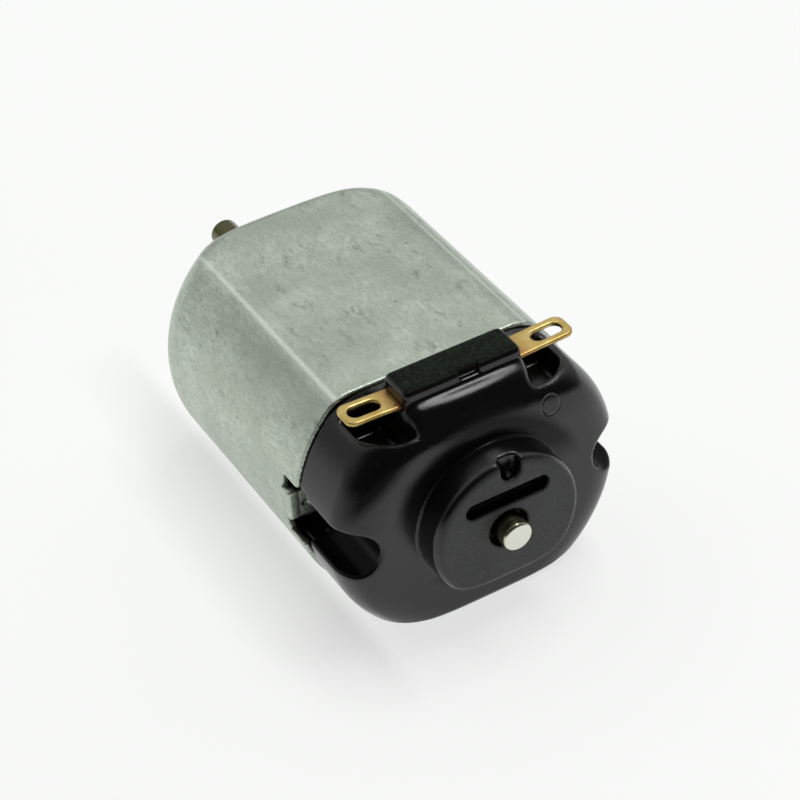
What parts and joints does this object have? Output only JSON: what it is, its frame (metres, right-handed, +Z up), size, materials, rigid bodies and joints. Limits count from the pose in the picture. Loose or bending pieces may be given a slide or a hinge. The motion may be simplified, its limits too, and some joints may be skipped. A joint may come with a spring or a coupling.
{
  "type": "small brushed DC motor",
  "caption": "Small flat-sided brushed DC motor with a plated steel can, glossy black end bell, brass solder tabs and a plain round shaft.",
  "frame": {"origin": "centre of the can's bottom flat", "axes": "+Y along the shaft, out of the output end; +Z up, towards the solder tabs; +X to the right seen from the end bell"},
  "size_m": [0.02, 0.0379, 0.0167],
  "materials": {
    "plated_steel": "dull satin plating with fine grain and small specks",
    "black_plastic": "glossy, matte on the boss face and block top",
    "sintered_bronze": "porous, oiled",
    "ferrite": "ground ceramic",
    "spring_steel": "satin",
    "brass": "satin, lightly tarnished",
    "spring_copper": "bright",
    "carbon": "matte",
    "shaft_steel": "ground and polished",
    "silicon_steel": "blanked sheet",
    "red_fibre": "matte fibre",
    "magnet_wire": "enamelled wire",
    "commutator_copper": "bright, worn by the brushes",
    "phenolic": "moulded",
    "nylon": "moulded"
  },
  "bodies": {
    "housing": {"can": "plated_steel", "end_bell": "black_plastic", "front_bearing": "sintered_bronze", "rear_bearing": "sintered_bronze", "magnet_left": "ferrite", "magnet_right": "ferrite", "magnet_spring_top": "spring_steel", "magnet_spring_bottom": "spring_steel", "terminal_left": "brass", "terminal_right": "brass"},
    "rotor": {"shaft": "shaft_steel", "lamination_01": "silicon_steel", "lamination_02": "silicon_steel", "lamination_03": "silicon_steel", "lamination_04": "silicon_steel", "lamination_05": "silicon_steel", "lamination_06": "silicon_steel", "lamination_07": "silicon_steel", "lamination_08": "silicon_steel", "lamination_09": "silicon_steel", "lamination_10": "silicon_steel", "lamination_11": "silicon_steel", "lamination_12": "silicon_steel", "lamination_13": "silicon_steel", "lamination_14": "silicon_steel", "lamination_15": "silicon_steel", "lamination_16": "silicon_steel", "insulator_rear": "red_fibre", "insulator_front": "red_fibre", "coil_1": "magnet_wire", "coil_2": "magnet_wire", "coil_3": "magnet_wire", "commutator_hub": "phenolic", "commutator_segment_1": "commutator_copper", "commutator_segment_2": "commutator_copper", "commutator_segment_3": "commutator_copper", "commutator_ring": "phenolic", "shaft_spacer": "nylon", "thrust_washer_front": "nylon", "thrust_washer_rear": "nylon"},
    "brush_gear_left": {"brush_arm_left": "spring_copper", "brush_left": "carbon"},
    "brush_gear_right": {"brush_arm_right": "spring_copper", "brush_right": "carbon"}
  },
  "joints": [
    {"name": "rotor_spin", "type": "hinge", "parent": "housing", "child": "rotor", "pos_m": [0, 0, 0.00755], "axis": [0, 1, 0], "continuous": true},
    {"name": "brush_flex_right", "type": "hinge", "parent": "housing", "child": "brush_gear_right", "pos_m": [0.00316, -0.01165, 0.01185], "axis": [0, -1, 0], "range_deg": [0, 3], "stiffness_Nm_per_rad": 0.0057},
    {"name": "brush_flex_left", "type": "hinge", "parent": "housing", "child": "brush_gear_left", "pos_m": [-0.00316, -0.01165, 0.01185], "axis": [0, 1, 0], "range_deg": [0, 3], "stiffness_Nm_per_rad": 0.0057}
  ]
}
